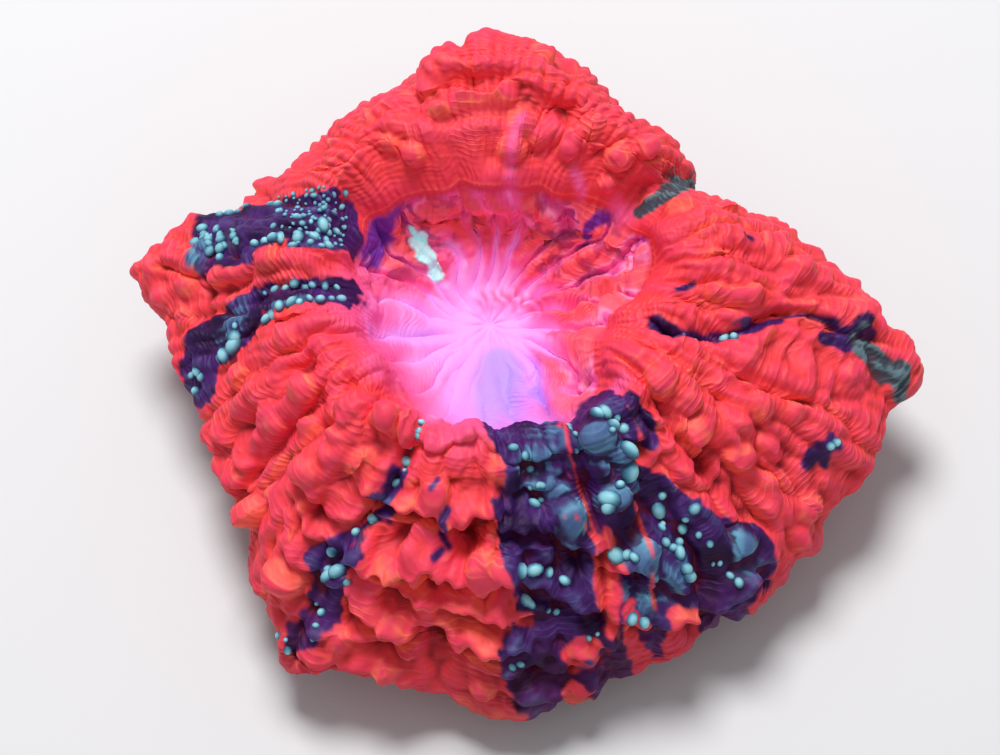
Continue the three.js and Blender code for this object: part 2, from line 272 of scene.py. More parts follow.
relief = {
    # Ridges and valleys in plan: path, half width, height.
    "folds": [
        ([(10, 12.5), (14, 15), (17, 19)], 1.3, -1.8),  # notch between the back and right lobes
        ([(12.5, -1), (14, -2), (20, -1.5), (25.5, 1)], 0.8, -1.8),  # right valley
        ([(25.5, 1.3), (28.5, 1.7), (31, 0.5), (35, 0.5)], 0.6, -0.9),
        ([(10, 6), (13, 2.5), (15.5, 0.4), (22, 0.3)], 1.2, 0.9),
        ([(11, 12), (14.5, 9.5), (16.5, 5.5), (22, 3.5)], 1.1, 1.0),
        ([(14.5, 9), (20, 9), (25, 7), (32, 4.5)], 1.4, 0.7),
        ([(9, -4.5), (12.5, -6.8), (15.5, -8.5), (20, -10.5), (25, -12.5)], 1.3, 1.2),
        ([(16, -4), (22, -6), (28, -7)], 1.0, -0.8),
        ([(20.5, -6), (22, -3.8), (24.5, -0.6)], 0.6, 0.9),
        ([(12, -10), (17, -14), (22, -18)], 0.9, -1.1),
        ([(-10, 24.5), (-5.5, 23.8), (-1.4, 24.4), (3, 24)], 0.7, 0.9),  # terraces of the back lobe
        ([(-9.4, 20.3), (-5.6, 21.2), (-1.6, 21.3)], 0.7, 1.0),
        ([(-14.5, 19), (-8.5, 18.6), (-3.2, 18.8)], 0.8, 0.8),
        ([(-1.7, 18.5), (3.3, 18.4), (10, 17.6), (14.5, 16.8)], 0.8, 0.9),
        ([(-1, 23), (3.6, 22.2), (7.5, 21.8), (11, 19)], 0.8, 0.8),
        ([(-5, 28.4), (-2.2, 29.2), (0.5, 28.8)], 1.1, 1.2),
        ([(-16, 9.5), (-20, 7), (-26, 6.2), (-31, 6)], 0.9, 1.0),  # red ridge of the left lobe
        ([(-17, 12), (-22, 12.8), (-27, 12.5)], 1.4, -0.7),
        ([(-17, 4), (-22, 3.2), (-27, 3)], 1.0, -0.9),
        ([(-17, -1), (-23, -1.4), (-28, -3)], 1.0, 0.8),
        ([(-15, -5), (-21, -7.5), (-27, -10)], 1.2, 0.9),
        ([(-20, -9.5), (-24.5, -11.5), (-28, -14)], 0.9, -1.2),
        ([(-10.2, -12.5), (-11, -14), (-12.3, -17), (-14, -19)], 0.7, -1.3),  # lower left valley
        ([(-14, -19), (-17, -21.2), (-20, -24), (-22, -28)], 1.3, -1.3),
        ([(-5, -12), (-6, -16), (-6.5, -19)], 1.6, 0.6),
        ([(7, -12), (8.2, -15.5), (7.5, -20)], 1.4, 0.9),
        ([(4.4, -11), (4.8, -16), (7, -22), (7.4, -28)], 0.6, -1.1),
        ([(11, -14), (11.5, -19), (13, -24)], 0.7, -0.9),
        ([(-17, -10.5), (-14, -11.8), (-11.8, -12)], 1.5, 1.4),
    ],
    # Ledges that hang outwards: path with the mouth on its left, depth behind the lip, height.
    "ledges": [
        ([(-14.5, -18), (-10.7, -19), (-6.6, -20.4), (-2.8, -19.6)], 2.6, 1.8),
        ([(-16.5, -23), (-12, -24.5), (-9, -24.2), (-4, -25.2)], 2.8, 2.0),
        ([(-10, -27.3), (-6.6, -27), (-2.7, -28.5)], 2.0, 1.4),
        ([(-16.5, -26.5), (-12.5, -29), (-9, -28.6), (-3, -31)], 2.2, 1.6),
        ([(-2, -20.5), (1.5, -20.2), (4, -21.8), (7, -22.3)], 2.2, 1.5),
        ([(-2.5, -24.5), (2, -25.5), (6.5, -26.5)], 2.0, 1.4),
        ([(8.5, -23.5), (12, -24.2), (15, -24.3)], 2.2, 1.5),
        ([(8, -27), (12, -27.5), (17, -26), (21, -23.5)], 2.0, 1.4),
        ([(-2, -30), (3, -30.3), (8, -29.5)], 1.8, 1.2),
    ],
    # Smooth knobs: x, y, radius.
    "knobs": [
        (-0.5, 19.6, 1.6), (-1.4, 16.9, 1.5), (-1.5, 14.4, 1.3), (1.4, 26.8, 1.6), (-8.8, 20.6, 1.2),
        (1.1, 18, 1.0), (9.3, 16.9, 1.4), (8, 15, 1.1), (4.1, 17, 1.1), (-13.4, 18.5, 1.3),
        (-11.3, 17, 1.3), (6.6, 19.4, 1.2), (12.2, 18, 1.1), (-9.8, 23.3, 1.2), (-15.8, 21, 1.3),
        (15.6, 11.7, 1.7), (18.5, 6, 1.2), (18.7, 2.4, 1.3), (20.7, 2.5, 1.2), (22.4, 2.4, 1.3),
        (33.3, 3, 2.0), (22.8, -8.2, 1.5), (16, -11.3, 2.0), (12.9, -7.9, 1.6), (20.6, -12.7, 1.8),
        (13.8, -15.8, 1.5), (26.5, -8, 1.2), (27.6, -15.5, 1.8), (29.2, -13, 1.1), (24, -14.3, 1.4),
        (31.9, -3.4, 1.3), (12.9, 14.3, 1.1), (23.9, 9, 1.1), (28, 6.2, 1.2), (20.2, 12, 1.4),
        (-30.8, 6.6, 1.3), (-25.8, 6.7, 1.3), (-38, 9.3, 1.3), (-36.9, 6.6, 1.3), (-34.2, 3.8, 1.4),
        (-22.5, 0, 1.2), (-29.3, 3.5, 1.1), (-23.5, -2.4, 1.4), (-28.2, -4, 1.5), (-13.8, -12.2, 1.5),
        (-16, -15, 2.0), (-21.5, -15.7, 1.7), (-24.6, -15.5, 1.4), (-24.6, -9.8, 1.3),
        (-23.8, -23.6, 2.3), (-27.3, -17, 1.9), (-10, -21.4, 1.5), (-11.2, -23.2, 1.6),
        (-4.1, -25, 2.0), (-14, -31.6, 1.6), (-4.2, -33, 1.5), (-20.9, -11.1, 1.4),
        (-21.9, -7.8, 1.5), (-18.1, -12.8, 1.4), (-19.3, -14.6, 1.2), (-8.8, -19, 1.5),
        (-13.6, -25, 1.6), (-13.5, -28.4, 1.8), (-18.4, -29, 1.5), (15.8, -27.6, 1.8),
        (5.5, -30.6, 1.2), (4.4, -20, 2.1), (6.6, -14.3, 1.8), (2.9, -17.8, 1.4), (-2.4, -16.4, 1.8),
        (8.7, -18.8, 1.6), (-2, -25.2, 1.5), (11.4, -22.8, 1.8), (11.4, -26.2, 1.6), (20.5, -20.2, 2.0),
        (1.4, -22.6, 1.6), (21.8, -22.8, 1.8), (-33.7, 8.8, 1.6), (-34.2, 6.8, 1.5), (-32.4, 10, 1.2),
    ],
    # Deep hollows: x, y, radius, depth.
    "hollows": [
        (-24.5, -11.5, 1.5, 2.2), (-27.4, -9, 1.3, 1.8), (-20.5, -19.4, 1.3, 1.8), (-9, -26, 1.2, 1.2),
        (-22, -5, 1.4, 1.4), (-19, -11.8, 1.0, 1.0), (-6, -22.6, 1.6, 1.6), (-13, -26.8, 1.2, 1.3),
        (-9, -30, 1.6, 1.2), (-5.5, -22, 1.2, 1.0), (19, -8.6, 1.2, 1.3), (23, -11.2, 1.2, 1.3),
        (26, -12.6, 1.1, 1.2), (17.5, -14.2, 1.3, 1.3), (9.6, -12.4, 1.1, 1.3), (-3.5, 15.8, 1.0, 0.8),
        (0.8, 16.4, 0.9, 0.9), (-5.5, 22.6, 1.3, 0.8), (3, 20.4, 1.4, 0.9), (-11, 20.8, 1.2, 0.8),
    ],
    "tongue": [(-4.2, 7.0), (-1.5, 6.8), (1.2, 5.4)],  # soft ridge beside the mouth
    # How strong each texture is, every 45 degrees anticlockwise from +X.
    "ribShare": (0.8, 0.75, 0.2, 0.5, 0.7, 1.0, 0.5, 1.0),
    "ledgeShare": (0.35, 0.5, 0.75, 0.7, 0.35, 0.6, 0.9, 0.5),
    "cordShare": (1.0, 0.7, 0.4, 0.7, 0.9, 0.8, 0.5, 1.0),
    "knobShare": (0.7, 0.45, 0.45, 0.6, 0.6, 1.0, 0.6, 0.9),
    "pitShare": (1.1, 1.2, 0.9, 0.9, 0.4, 0.25, 0.2, 0.7),
    "mottleShare": (0.5, 1.3, 0.5, 1.3, 0.8, 0.0, 0.0, 0.3),
    "glowReach": (11.0, 10.0, 12.5, 11.0, 15.5, 17.0, 18.5, 13.0),  # mm from the mouth
    "ribs": 44, "cords": 118, "beadPitch": 1.2, "striae": 116, "wrinklePitch": 0.58,
    "ledgePitch": 3.3, "ledgeBeads": 104, "lipPitch": 1.25, "pitCords": 20,
    # Heights in mm of what has no table of its own; hang is how far a ledge juts per mm.
    "ribHeight": 1.5, "hang": 0.95, "thinLip": 0.24, "pitCordHeight": 2.1, "broadHeight": 0.5,
    "tongueHeight": 0.9, "stripHeight": 0.4, "striaHeight": 0.12, "wrinkleHeight": 0.1,
    "knobRise": 1.2, "bigDomes": 0.9, "smallDomes": 0.5, "softening": 0.85,
}

# Strings of pale beads in the violet patches: path, bead radius, how many, how pale.
beadStrings = [
    ([(-31.5, 14), (-28.5, 15)], 0.5, 4, 0.7), ([(-25.6, 14.6), (-25.2, 12.6)], 0.55, 3, 0.9),
    ([(-23, 11.3), (-21, 10.2), (-19, 10)], 0.5, 6, 0.9),
    ([(-27.2, 8.6), (-24.9, 8.6), (-22.5, 8.8), (-19.9, 9)], 0.5, 10, 0.85),
    ([(-23.2, 7.7), (-21, 7.7), (-19.2, 8)], 0.42, 6, 0.7),
    ([(-34, 11.3), (-31, 11), (-30.7, 8)], 0.5, 6, 0.7),
    ([(-26, 3.7), (-24, 4.1), (-21.3, 4), (-19, 3.8)], 0.42, 8, 0.9),
    ([(-26, 0.4), (-24, 1.1), (-21.5, 1.3), (-18.6, 2.5)], 0.6, 9, 0.85),
    ([(-29.2, 0.6), (-29, -0.8), (-30.4, -1.6)], 0.6, 4, 0.8),
    ([(-34, -1.7), (-32.8, -2.1), (-33.6, -3.2)], 0.4, 4, 0.8),
    ([(-10.2, -12.4), (-11, -13.9)], 0.32, 5, 1.0), ([(-11.7, -15.2), (-12.4, -17)], 0.5, 3, 1.0),
    ([(-14.8, -20), (-16.7, -20.9)], 0.45, 3, 0.9),
    ([(-19.3, -22.7), (-19.6, -24.2), (-17.5, -25)], 0.6, 5, 0.75),
    ([(-20.8, -26), (-20, -27.5), (-21.3, -29.2)], 0.4, 4, 0.8),
    ([(-24.7, -28.3), (-23.6, -29.5)], 0.4, 3, 0.8),
    ([(4, -10.4), (4.6, -13.7), (4.7, -15.4)], 0.45, 5, 0.7),
    ([(6.8, -12), (7.8, -11.2), (9.2, -12.8), (7.8, -13.9)], 0.62, 6, 1.0),
    ([(9.7, -15.2), (10, -16.7), (9.3, -17.7), (8.2, -18.9), (7.5, -20.3)], 0.78, 6, 0.95),
    ([(13, -17.3), (12.9, -18.5), (13.5, -20.7), (15, -22.3), (16.2, -24)], 0.6, 9, 0.9),
    ([(16.4, -18.5), (15.3, -19.8), (15.1, -21)], 0.45, 4, 0.8),
    ([(17, -20.5), (18.8, -22.3)], 0.4, 3, 0.8),
    ([(-1.1, -15), (0.6, -16.2)], 0.5, 3, 0.6), ([(0.1, -17.9), (1.6, -17.9), (0.8, -19.4)], 0.48, 5, 0.6),
    ([(-2, -25.6), (-0.4, -25.2), (1.3, -24.5), (3.4, -25.2)], 0.6, 5, 1.0),
    ([(-0.3, -26.9), (1.2, -27), (3, -27.3)], 0.5, 4, 0.9),
    ([(8.6, -23), (10.4, -23.6)], 0.7, 3, 0.9), ([(10.4, -28.2), (11.6, -28.4)], 0.5, 2, 0.9),
    ([(-1.4, -32.2), (-0.6, -32)], 0.45, 2, 0.7), ([(6, -29.4), (7, -29.4)], 0.4, 2, 0.7),
    ([(19.2, -22.3), (21, -24)], 0.4, 3, 0.8), ([(14, -2.3), (16.8, -1.9)], 0.36, 3, 0.95),
    ([(19.3, -1.3), (20.5, -1.9)], 0.5, 2, 1.0), ([(29.8, -11), (30.8, -10.4)], 0.4, 2, 0.9),
]

# Rows of small beads on the violet of the left fold.
for n in range(8):
    y = 14.6 - 0.78 * n
    beadStrings.append(([(-25.2 + 0.9 * (n % 3), y + 0.5), (-18.3, y - 0.9)], 0.27, 9, 0.5))
for n in range(3):
    beadStrings.append(([(-33 + 1.6 * n, 12.4 - 0.6 * n), (-32 + 1.5 * n, 9.4)], 0.42, 6, 0.6))

# Colour patches: runs of capsules in plan, as path and half width.
patches = {
    "violet": [
        ([(-19.5, 10.6), (-23, 11), (-27, 11.5), (-31, 12.5)], 3.3), ([(-28, 9), (-31, 9.5)], 3.0),
        ([(-19, 8.2), (-23.5, 7.9)], 1.0), ([(-18.2, 3.2), (-22, 2.6), (-26.5, 2.2)], 1.6),
        ([(-27.5, 1.6), (-29.8, 0)], 1.9), ([(-32.5, 1.2), (-33.4, -3.2)], 2.0),
        ([(-12.4, -16.8), (-13.6, -18.8)], 0.8), ([(-14, -19.3), (-17.5, -21.6), (-20.5, -22.6)], 1.0),
        ([(-18.6, -23), (-20.2, -26.5), (-22.3, -29)], 1.7), ([(-8.6, -17.8), (-9.2, -19)], 0.28),
        ([(-7.6, -20.4), (-8.3, -21.6), (-7.6, -22.8)], 0.4), ([(-8.2, -23.2), (-9, -24.2)], 0.32),
        ([(0.8, -8), (-0.4, -12.5), (1.6, -17.5), (0.4, -21), (1.6, -24.5), (2.4, -28.5), (0.8, -32)], 3.4),
        ([(4, -9), (8, -12.5)], 2.6), ([(6, -14.5), (8.5, -19), (12, -22), (14, -26)], 3.6),
        ([(5, -25), (7, -30)], 3.4), ([(13, -19), (18, -20.5), (22, -21.5)], 2.9),
        ([(14, -24.5), (20, -24)], 3.0), ([(10.3, -10), (12, -13)], 0.9),
        ([(12.6, -1.2), (15, -2.1), (20, -1.6), (25.4, 1.1)], 0.72),
        ([(25.4, 1.4), (28.6, 1.7), (31, 0.9)], 0.3), ([(30, -0.7), (32.8, 0), (34.4, 1.1)], 0.85),
        ([(27.8, -12.4), (29, -11.2), (30.8, -10.6)], 0.55), ([(29.6, -12), (30.3, -10)], 0.5),
        ([(21.8, 8.3), (22.3, 8.2)], 0.25), ([(14.9, 2.4), (16.3, 3.1)], 0.35),
    ],
    "red": [  # red that shows inside the violet
        ([(7.8, -21.8), (7.8, -25), (8.4, -28.6)], 1.0),
        ([(3.2, -8.5), (3.9, -15), (4.9, -17), (6.6, -21.6)], 0.22), ([(6.8, -22.6), (6.7, -26)], 0.2),
        ([(10.5, -18.6), (11.4, -20.8), (12.2, -23.6)], 0.18), ([(12.2, -25), (12.5, -27)], 0.25),
        ([(15.8, -27.4), (15.4, -29)], 1.7), ([(4.6, -30.8), (6.4, -30.2)], 0.9),
        ([(-3.2, -28.6), (0.2, -28.2)], 0.5), ([(17.8, -17), (18.9, -17.8)], 0.9),
    ],
    "aqua": [
        ([(-33.5, 9.6), (-34.2, 6.8)], 1.6), ([(4.4, -20), (3.2, -18)], 1.9),
        ([(1.2, -16.6), (2.6, -14)], 1.5), ([(6.8, -14.4), (8, -15.4)], 1.5),
        ([(11.5, -22.8), (14.5, -23.4)], 1.9), ([(11.4, -26), (14.5, -25)], 1.5),
        ([(8.6, -18.8), (9.2, -17.2)], 1.2), ([(-30, -0.2), (-28.6, 1.2)], 0.9),
        ([(20.4, -20), (22, -22)], 1.0), ([(-24.5, 0.6), (-21, 0.9)], 0.8),
    ],
    "grey": [
        ([(12, 13.2), (14.2, 14.2), (16.8, 18), (18.4, 20)], 1.0),
        ([(34.2, -0.6), (36, -2), (38, -2.8)], 1.2), ([(33.4, -0.2), (34.8, -0.8)], 0.7),
    ],
    "plum": [([(12.4, 10.9), (13.8, 9.2)], 1.0), ([(6.2, 12), (8, 13.2)], 0.4)],
    "pale": [  # a torn strip on the wall
        ([(-12, 13.8), (-11.2, 12.6)], 0.4), ([(-11.1, 12.4), (-10.2, 10.8)], 1.0),
        ([(-10.2, 10.8), (-9.3, 9.2)], 0.7),
    ],
}

# Painted glow and highlights where the mouth's glow spills over the rim: path, reach, how much.
hazes = [
    ([(-9.8, -8), (-9, -11)], 1.4, 0.85), ([(5.4, 14.4), (5, 15.2)], 0.7, 0.6),
    ([(9.3, 13.2), (10.5, 13)], 1.2, 0.5), ([(0, -8), (3, -9)], 1.5, 0.5),
    ([(-1.7, 13.5), (-1.4, 17), (-0.6, 19.4)], 0.75, 0.42), ([(9, -8), (8, -9)], 1.2, 0.5),
    ([(-14.5, -6), (-16, -2)], 1.5, 0.4),
]


# How the beads differ, and their ball: most stretch one way, and the share sunk in the flesh.
beadForm = {
    "along": 0.16, "aside": 0.15, "size": (0.5, 1.2), "pale": (0.75, 1.1),
    "rings": 6, "sides": 10, "stretch": (1.05, 1.5), "swell": 1.1, "sunk": 0.1,
}


def beadsAlong(path, radius, count, pale, seed):
    # Even steps along the path, each moved and resized a little: x, y, radius and paleness.
    path = np.array(path, float)
    lengths = np.r_[0, np.cumsum(np.linalg.norm(np.diff(path, axis=0), axis=1))]
    rng = np.random.default_rng(seed)
    at = np.linspace(0, lengths[-1], count) + rng.normal(0, beadForm["along"], count)
    x, y = (np.interp(at, lengths, path[:, k]) + rng.normal(0, beadForm["aside"], count) for k in (0, 1))
    size = radius * rng.uniform(*beadForm["size"], count)
    return np.stack([x, y, size, np.clip(pale * rng.uniform(*beadForm["pale"], count), 0, 1)], 1)


def raiseBalls(p, balls, rise):
    # For each ball, 1 - (distance / radius) squared round the surface point under its place, to
    # the power 0.75, times its radius and rise; the highest wins.
    height = np.zeros(p.shape[:2])
    for x, y, radius in balls:
        close = np.hypot(p[..., 0] - x, p[..., 1] - y)
        near = np.nonzero(close < radius * 1.05)
        if len(near[0]):
            spots = p[near]
            centre = spots[np.argmin(close[near] - 0.05 * spots[:, 2])]
            inside = 1 - (((spots - centre) / radius) ** 2).sum(-1)
            height[near] = np.maximum(height[near], np.maximum(inside, 0) ** 0.75 * radius * rise)
    return height


def patchShare(x, y, name, wobble, soft=0.2):
    # 1 inside the capsules and 0 outside; wobble moves their edge in and out.
    inside = np.full(x.shape, -9.0)
    for path, halfWidth in patches[name]:
        within = halfWidth - alongPath(x, y, path)[0]
        inside = np.maximum(inside, within + wobble * min(1, halfWidth / 1.5))
    return step01(inside, -soft, soft)


def shareRound(angle, name):  # how strong a texture is at each angle
    return roundTheLobes(angle[0], relief[name])


def terraces(p, angle, length, rough):
    # Ledges one above another, each ending in a row of round beads: every bead is the root of
    # 1 - 0.85 across squared - along squared in its own cell of a wavy grid round the coral.
    run = length + 1.5 * smoothNoise(p, 5.0, 15) + 0.5 * smoothNoise(p, 1.9, 16)
    pitch = relief["ledgePitch"]
    ledge = np.floor(run / pitch).astype(np.int64)
    cycle = run / pitch - ledge
    zero = np.zeros_like(ledge)
    u = angle / 360 * relief["ledgeBeads"] + 9 * hashed(ledge, zero, zero, 18) + 0.5 * rough
    bead = np.floor(u).astype(np.int64)
    across = 2 * (u - bead) - 1
    size = 0.55 + 0.45 * hashed(ledge, bead, zero, 19)
    along = (cycle - 0.74) / (0.26 * size + 0.02)
    ball = np.sqrt(np.maximum(0, 1 - 0.85 * across ** 2 - along ** 2)) * size
    slope = step01(cycle, 0.0, 0.7) * (1 - step01(cycle, 0.86, 1.0))
    shown = step01(smoothNoise(p, 4.5, 17), -0.45, 0.35) * step01(length, 2.2, 5.0)
    shown = shown * shareRound(angle, "ledgeShare")
    return slope * shown, ball * shown


def pitRelief(p, angle, radius):
    # Round cords that run down the pit's wall into the mouth, knotted and ringed here and there, on
    # broad folds; a soft tongue beside the mouth, and small lips round it. Returns the height, and
    # how far each point is from the gaps between cords to their tops.
    u = relief["pitCords"] * angle / 360 + 0.7 * smoothNoise(p, 6.0, 61) + 0.1 * smoothNoise(p, 1.6, 62)
    cord = 1 - (2 * (u - np.floor(u)) - 1) ** 2
    half = 17 * angle / 360 + 0.25 * smoothNoise(p, 3.0, 63) + 0.25
    broad = np.abs(np.cos(np.pi * half))
    knots = 0.75 + 0.4 * smoothNoise(p, 2.3, 64)
    share = shareRound(angle, "pitShare")
    height = relief["pitCordHeight"] * cord ** 0.7 * knots * step01(radius, 3.0, 7.5) * share
    height = height + relief["broadHeight"] * broad * step01(radius, 1.5, 7.0) * (0.4 + 0.6 * share)
    height = height + 0.45 * smoothNoise(p, 1.2, 65) * step01(radius, 5, 9) * share
    rings = np.abs(np.cos(np.pi * (radius / 1.5 + 0.5 * smoothNoise(p, 2.0, 69))))
    height = height + 0.3 * rings * cord * step01(radius, 5, 8) * share
    tongue = np.exp(-(alongPath(p[..., 0], p[..., 1], relief["tongue"])[0] / 1.2) ** 2)
    height = height + relief["tongueHeight"] * tongue
    lips = np.abs(np.cos(np.pi * (11 * angle / 360 + 0.2 * smoothNoise(p, 1.5, 66))))
    height = height + 0.15 * lips * step01(radius, 0.3, 1.2) * (1 - step01(radius, 1.5, 3.5))
    tone = 1 - np.abs(2 * (u - np.floor(u)) - 1) ** 1.3 + 0.14 * smoothNoise(p, 0.8, 68)
    return height, 0.5 + (tone - 0.5) * np.minimum(share, 1) * step01(radius, 4.5, 8.0)


# Each stage below takes the points and "at", which holds each point's angle, station, length from
# the rim, radius and outward direction, and what the earlier stages found there.


def roundPitFoot(p, at):
    # The foot of the pit's wall is rounded, so that cords can run up it.
    rounding = step01(at.station, 1.0, 1.4) * (1 - step01(at.station, 2.25, 2.5))
    rounding = rounding * (1 - bell(at.angle, 98, 50) * step01(at.station, 1.6, 2.0))
    return p + (blurred(p, 14) - p) * rounding[..., None]


def raiseFolds(p, at):
    # Slow lumps, folds, hollows, ribs and ledges outside, and the cords of the pit inside.
    x, y = p[..., 0], p[..., 1]
    at.wander = smoothNoise(p, 2.2, 13)
    lift = 0.6 * smoothNoise(p, 6.5, 11) + 0.4 * smoothNoise(p, 3.4, 12)
    for path, halfWidth, height in relief["folds"]:
        lift = lift + height * np.exp(-((alongPath(x, y, path)[0] + 0.4 * at.wander) / halfWidth) ** 2)
    for hx, hy, hollowRadius, depth in relief["hollows"]:
        lift = lift - depth * np.exp(-(((x - hx) ** 2 + (y - hy) ** 2) / hollowRadius ** 2))
    overhang = np.zeros(x.shape)
    scallop = 0.45 * smoothNoise(p, 1.5, 14) + 0.22 * np.sin(np.radians(at.angle) * 84)
    for path, depth, height in relief["ledges"]:
        away, side = alongPath(x, y, path)
        t = away * side + scallop
        ramp = step01(t, -depth, -0.1) * (1 - step01(t, 0, 0.5))
        overhang = np.maximum(overhang, height * ramp * (1 - step01(away, depth, depth + 0.5)))
        under = np.exp(-((t - 1.1) / 0.7) ** 2) * (1 - step01(away, 2.2, 2.8))
        lift = lift - 0.45 * height * under
    u = relief["ribs"] * at.angle / 360 + 0.75 * smoothNoise(p, 7.5, 71) + 0.3 * smoothNoise(p, 2.6, 72)
    rib = np.abs(np.cos(np.pi * u)) ** 0.6 - 0.75
    at.ribs = rib * shareRound(at.angle, "ribShare") * step01(at.length, 1.5, 6.0)
    at.ribs = at.ribs * (0.75 + 0.5 * smoothNoise(p, 3.0, 73))
    lift = lift + relief["ribHeight"] * at.ribs
    slope, at.lipBeads = terraces(p, at.angle, at.length - 1.6 * at.ribs, at.wander)
    stack = at.length - 1.8 * at.ribs + 0.9 * smoothNoise(p, 3.2, 74) + 0.3 * smoothNoise(p, 1.1, 75)
    stack = stack / relief["lipPitch"]
    at.saw = stack - np.floor(stack)
    at.lipShare = 0.6 + 0.5 * smoothNoise(p, 2.4, 76)
    thinLip = at.saw ** 1.5 * (1 - step01(at.saw, 0.7, 1.0)) * at.lipShare
    overhang = np.maximum(overhang, slope) + relief["thinLip"] * thinLip * step01(at.length, 1.0, 4.0)
    overhang = overhang * at.upper
    pit, at.crest = pitRelief(p, at.angle, at.radius)
    pit = pit * (1 - 0.9 * step01(at.station, 2.4, 2.95)) * (1 - step01(at.station, 2.9, 3.6))
    at.strip = patchShare(x, y, "pale", 0.5 * smoothNoise(p, 0.9, 58) + 0.25 * smoothNoise(p, 0.4, 59))
    at.strip = at.strip * (1 - step01(at.station, 2.2, 2.4))
    give = polyp["sink"] * step01(at.station, 3.3, 4.4) * (1 - step01(at.station, 6.6, 7.6))
    outside = lift * at.upper - give + 0.5 * overhang
    inside = pit + relief["stripHeight"] * at.strip
    p = p + normalsOf(p) * outside[..., None] + normalsOf(blurred(p, 12)) * inside[..., None]
    return p + (at.outward * relief["hang"] + np.array([0, 0, 0.15])) * overhang[..., None]


def raiseKnobs(p, at):
    # Knobs, cords and rows of beads, then a slight softening.
    normals = normalsOf(blurred(p, 9))
    bulbs = blurred(raiseBalls(p, relief["knobs"], relief["knobRise"]), 2) * (at.station > 3.0)
    big = blurred(domes(p, 2.9, 21, 0.5), 2) * relief["bigDomes"] * shareRound(at.angle, "knobShare")
    small = domes(p, 1.45, 31, 0.7) * relief["smallDomes"] * step01(smoothNoise(p, 5.0, 33), -0.3, 0.6)
    outer = step01(at.length, 2.5, 8.0)
    u = relief["cords"] * at.angle / 360 + 0.9 * smoothNoise(p, 7.0, 22) + 0.3 * smoothNoise(p, 2.5, 23)
    row = np.floor(u).astype(np.int64) % relief["cords"]
    across = 2 * (u - np.floor(u)) - 1
    cord = 1 - across ** 2
    zero = np.zeros_like(row)
    pitch = relief["beadPitch"] * (0.75 + 0.5 * hashed(row, zero, zero, 24))
    v = at.length / pitch + 7 * hashed(row, zero, zero, 25)
    bead = np.floor(v).astype(np.int64)
    alongBead = 2 * (v - bead) - 1
    ball = np.maximum(0, 1 - across ** 2 - 0.9 * alongBead ** 2) ** 0.75
    ball = ball * (0.6 + 0.4 * hashed(row, bead, zero, 26))
    beaded = step01(smoothNoise(p, 4.0, 27), -0.25, 0.35)
    cords = (cord * (1 - 0.75 * beaded) + ball * beaded) * shareRound(at.angle, "cordShare")
    cords = cords * (0.16 + 0.62 * outer) * (0.6 + 0.4 * smoothNoise(p, 6.0, 28))
    lumps = np.maximum(np.maximum(big * outer, small * outer), at.lipBeads)
    covered = step01(np.maximum(bulbs, lumps), 0.3, 0.8)
    at.raised = blurred(np.maximum(lumps, bulbs) + cords * (1 - 0.7 * covered), 1)
    p = p + normals * (at.raised * at.upper)[..., None]
    p = p + (blurred(p, 2) - p) * relief["softening"] * at.upper[..., None]
    # How far the surface turns from the broad form, which paints a rim glow on the steep sides.
    at.steepness = (normalsOf(p) * normals).sum(-1)
    return p


def raiseStriae(p, at):
    # Striae down the rim and wrinkles across the cords. at.ray and at.ring count their crests, and
    # the colours draw fine lines where the counts are whole numbers.
    normals = normalsOf(blurred(p, 1))
    at.ray = relief["striae"] * at.angle / 360 + 0.6 * smoothNoise(p, 3.0, 41)
    at.ray = at.ray + 0.25 * smoothNoise(p, 1.0, 45)
    at.rayShare = (1 - step01(at.length, 5.5, 11)) * step01(at.station, 1.6, 2.9)
    at.rayShare = at.rayShare * (0.6 + 0.4 * smoothNoise(p, 3.0, 42))
    at.ring = at.length + 0.5 * smoothNoise(p, 2.4, 43) + 0.35 * at.raised - 0.8 * at.ribs
    at.ring = at.ring / relief["wrinklePitch"]
    inPit = 0.7 * (at.station < 2.9) * step01(at.radius, 6, 8)
    at.ringShare = np.maximum(step01(at.length, 0.5, 3.0), inPit)
    at.ringShare = at.ringShare * (0.25 + 0.75 * step01(smoothNoise(p, 3.0, 44), -0.4, 0.4))
    stria, wrinkle = (np.abs(np.cos(np.pi * turns)) ** 1.6 for turns in (at.ray, at.ring))
    fine = relief["striaHeight"] * stria * at.rayShare + relief["wrinkleHeight"] * wrinkle * at.ringShare
    fine = fine + 0.05 * smoothNoise(p, 0.6, 46) * (1 - step01(at.radius, 2, 7) * (at.station < 2.5))
    p = p + normals * (fine * (1 - step01(at.station, 6.5, 7.4)))[..., None]
    p[..., 2] = np.maximum(p[..., 2], 0.3)
    return p


def glowOf(p, at, pitMask):
    # The mouth's glow: it fades outwards and between the cords, is striped on the tongue, and
    # spills over the rim in the hazes.
    x, y = p[..., 0], p[..., 1]
    reach = shareRound(at.angle, "glowReach") + 0.8 * smoothNoise(p, 2.5, 55)
    reach = reach + 2.2 * smoothNoise(at.outward * 5, 1.0, 60)
    tongue = np.exp(-(alongPath(x, y, relief["tongue"])[0] / 1.1) ** 2)
    stripes = np.abs(np.cos(np.pi * (0.8 * x + 0.35 * y + 0.5 * smoothNoise(p, 1.2, 67))))
    glow = 1 - step01(at.radius / reach, 0.3, 1.15)
    glow = glow - tongue * (0.15 + 0.3 * stripes ** 2) - 0.8 * (at.crest - 0.5) * pitMask
    # No glow at the top of the back wall: painted shade under the hem.
    glow = glow * (1 - step01(at.station, 2.85, 3.0) * bell(at.angle, 95, 50))
    haze = sum(much * np.exp(-(alongPath(x, y, path)[0] / width) ** 2) for path, width, much in hazes)
    return np.clip(np.maximum(glow, haze * (0.8 + 0.4 * at.wander)), 0, 1)


